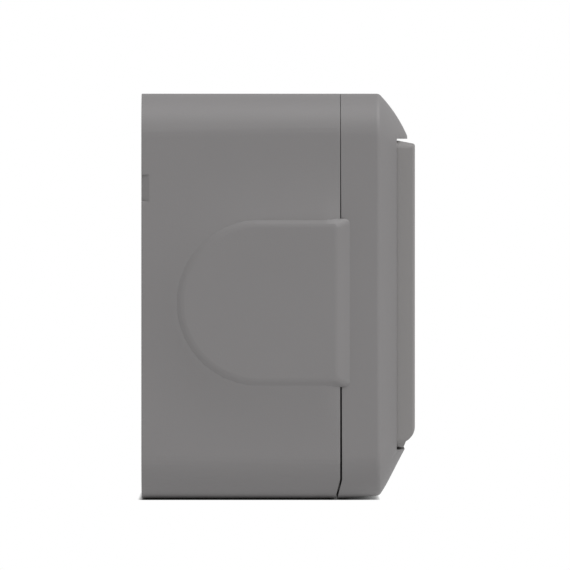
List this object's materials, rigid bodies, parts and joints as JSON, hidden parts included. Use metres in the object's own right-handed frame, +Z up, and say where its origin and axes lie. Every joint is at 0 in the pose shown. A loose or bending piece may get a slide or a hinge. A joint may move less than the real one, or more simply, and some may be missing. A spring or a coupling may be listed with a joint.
{
  "type": "outdoor weatherproof switch",
  "caption": "Surface-mounted weatherproof wall switch: deep grey box with slide-in cable entry inserts, hooded cover and a wide spring-centred rocker that works a two-way contact.",
  "frame": {"origin": "centre of the flat back face that lies on the wall", "axes": "+Z up, the rocker faces -Y, +Y points into the wall, +X to the right seen from the front"},
  "size_m": [0.077, 0.0507, 0.075],
  "materials": {
    "housing_plastic": "fine matte moulded grey plastic",
    "rocker_plastic": "fine matte moulded grey plastic",
    "seal_rubber": "soft black sealing rubber",
    "zinc_steel": "bright zinc-plated steel",
    "mechanism_plastic": "off-white insulating plastic",
    "lever_plastic": "dark grey low-friction plastic",
    "contact_brass": "rolled brass strip",
    "contact_silver": "silver contact rivets"
  },
  "bodies": {
    "housing": {"rear_box": "housing_plastic", "entry_insert_left": "housing_plastic", "entry_insert_right": "housing_plastic", "entry_seal_left": "seal_rubber", "entry_seal_right": "seal_rubber", "fixing_seals": "seal_rubber", "rim_seal": "seal_rubber", "front_cover": "housing_plastic", "stem_seal": "seal_rubber", "cover_screws": "zinc_steel", "cover_screw_seals": "seal_rubber", "support_frame": "zinc_steel", "frame_screws": "zinc_steel", "mechanism_base": "mechanism_plastic", "mechanism_cap": "mechanism_plastic", "cap_screws": "zinc_steel", "upper_contact": "contact_brass", "lower_contact": "contact_brass", "fixed_contact_tips": "contact_silver", "common_contact": "contact_brass", "terminal_clamps": "contact_brass", "terminal_screws": "zinc_steel"},
    "rocker": {"rocker_plate": "rocker_plastic"},
    "lever": {"contact_lever": "lever_plastic", "lever_axle": "zinc_steel", "return_plunger": "lever_plastic", "return_spring": "zinc_steel", "moving_contact": "contact_brass", "moving_contact_tips": "contact_silver"}
  },
  "joints": [
    {"name": "rocker_hinge", "type": "hinge", "parent": "housing", "child": "rocker", "pos_m": [0, -0.043, 0], "axis": [1, 0, 0], "range_deg": [-3, 3], "stiffness_Nm_per_rad": 1},
    {"name": "lever_hinge", "type": "hinge", "parent": "housing", "child": "lever", "pos_m": [0, -0.031, 0], "axis": [1, 0, 0], "range_deg": [-9, 9]}
  ],
  "couplings": [
    {"joint": "lever_hinge", "follows": "rocker_hinge", "ratio": -3}
  ]
}
